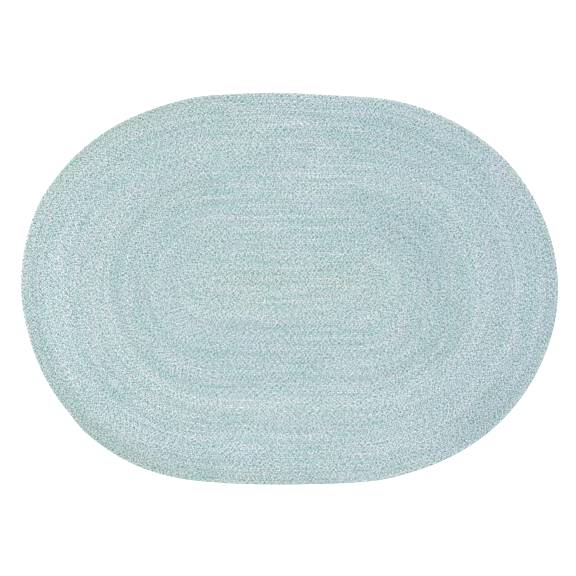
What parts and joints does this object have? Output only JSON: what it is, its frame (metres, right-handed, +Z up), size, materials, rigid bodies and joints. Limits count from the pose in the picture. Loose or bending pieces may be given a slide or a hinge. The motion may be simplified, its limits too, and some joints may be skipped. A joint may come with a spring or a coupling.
{
  "type": "braided rug",
  "caption": "Oval floor rug wound from a flat tweed braid around a straight centre braid, laced edge to edge, with a flat underside.",
  "frame": {"origin": "middle of the rug's box, on the floor side", "axes": "+X along the rug's length and the centre braid, +Z up out of the rug's face"},
  "size_m": [3.3514, 2.4454, 0.01],
  "materials": {
    "braided_yarn": "matte tweed yarn, pale aqua and off-white"
  },
  "bodies": {
    "root": {"rug": "braided_yarn"}
  },
  "joints": []
}
